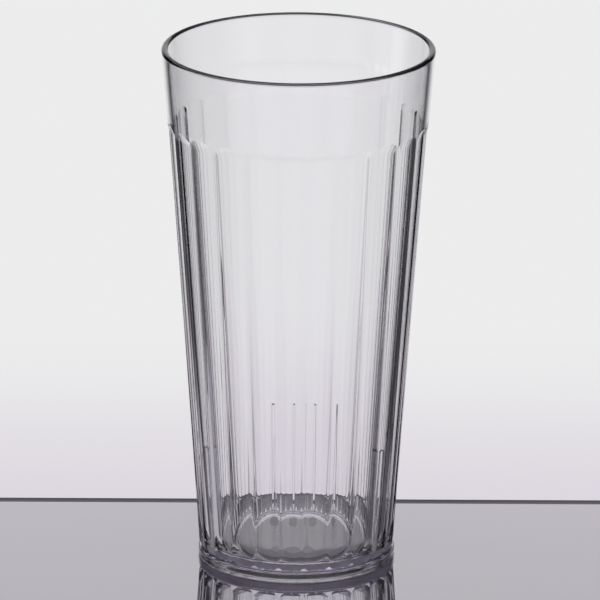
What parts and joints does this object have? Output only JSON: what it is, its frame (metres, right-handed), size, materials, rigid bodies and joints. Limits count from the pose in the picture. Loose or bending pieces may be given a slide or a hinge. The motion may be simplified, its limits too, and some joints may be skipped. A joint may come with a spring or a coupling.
{
  "type": "tumbler",
  "caption": "Clear moulded plastic drinking tumbler, tapered, with a plain band under the lip, shallow arched flutes, inner stacking lugs and a foot ring.",
  "frame": {"origin": "centre of the base, at the height of the surface that the cup stands on", "axes": "+Z is the cup's axis, up through the open rim; +X is to the right in the picture"},
  "size_m": [0.0824, 0.0824, 0.1598],
  "materials": {
    "clear_plastic": "clear, polished by the mould"
  },
  "bodies": {
    "root": {"tumbler": "clear_plastic"}
  },
  "joints": []
}
